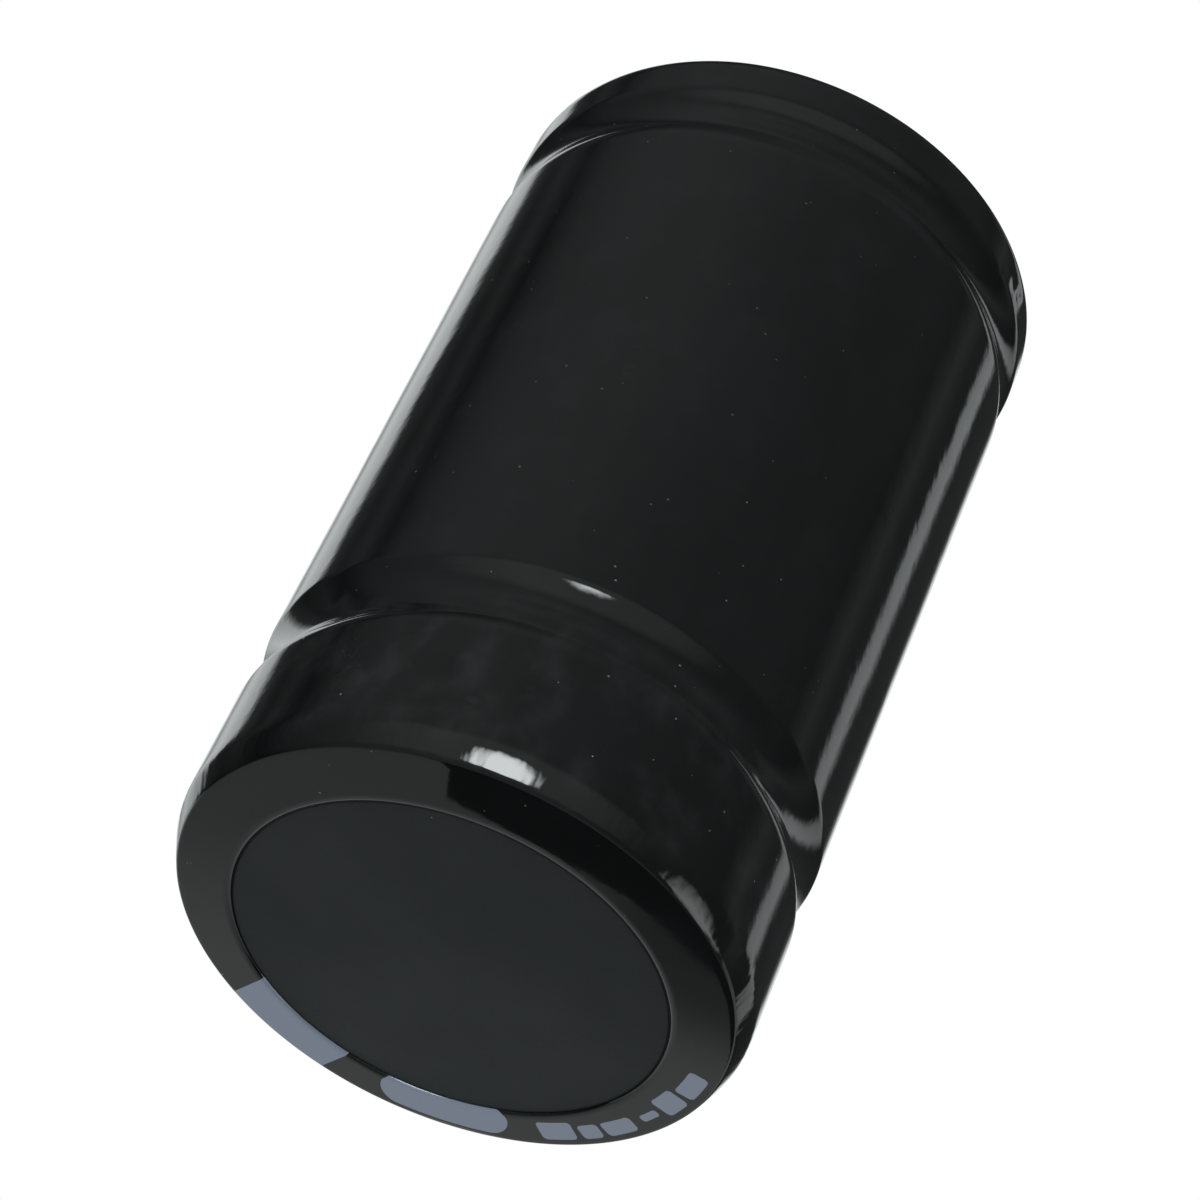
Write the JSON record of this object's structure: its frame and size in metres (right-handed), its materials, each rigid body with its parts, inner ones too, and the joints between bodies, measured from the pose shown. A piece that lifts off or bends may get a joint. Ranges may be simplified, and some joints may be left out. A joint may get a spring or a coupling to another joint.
{
  "type": "supercapacitor",
  "caption": "Cylindrical snap-in supercapacitor cell in a black shrink sleeve, with a bead rolled in near each end and a sleeve lip over the closed end's disc.",
  "frame": {"origin": "centre of the closed face, in the plane of the sleeve's lip that the cell stands on", "axes": "+Z along the can, from the closed end to the terminals; +X from the negative pin to the positive pin; the lip is widest on the -Y side"},
  "size_m": [0.0354, 0.0354, 0.0672],
  "materials": {
    "film": "glossy shrink film",
    "fibre": "matt",
    "can_aluminium": "drawn, satin",
    "phenolic": "pressed laminate, matt",
    "rubber": "moulded, matt",
    "tinned_steel": "tin plated, satin",
    "aluminium": "satin",
    "plastic_sheet": "thin sheet, satin",
    "electrode_roll": "carbon-coated foil and paper separator, wound",
    "tape": "polyimide tape, satin"
  },
  "bodies": {
    "root": {"sleeve": "film", "base_disc": "fibre", "can": "can_aluminium", "header_board": "phenolic", "header_rubber": "rubber", "terminal_positive": "tinned_steel", "terminal_negative": "tinned_steel", "rivet_positive": "aluminium", "rivet_negative": "aluminium", "washer_positive": "aluminium", "washer_negative": "aluminium", "tabs_positive": "aluminium", "tabs_negative": "aluminium", "upper_insulator": "plastic_sheet", "lower_insulator": "plastic_sheet", "winding": "electrode_roll", "winding_tape": "tape"}
  },
  "joints": []
}
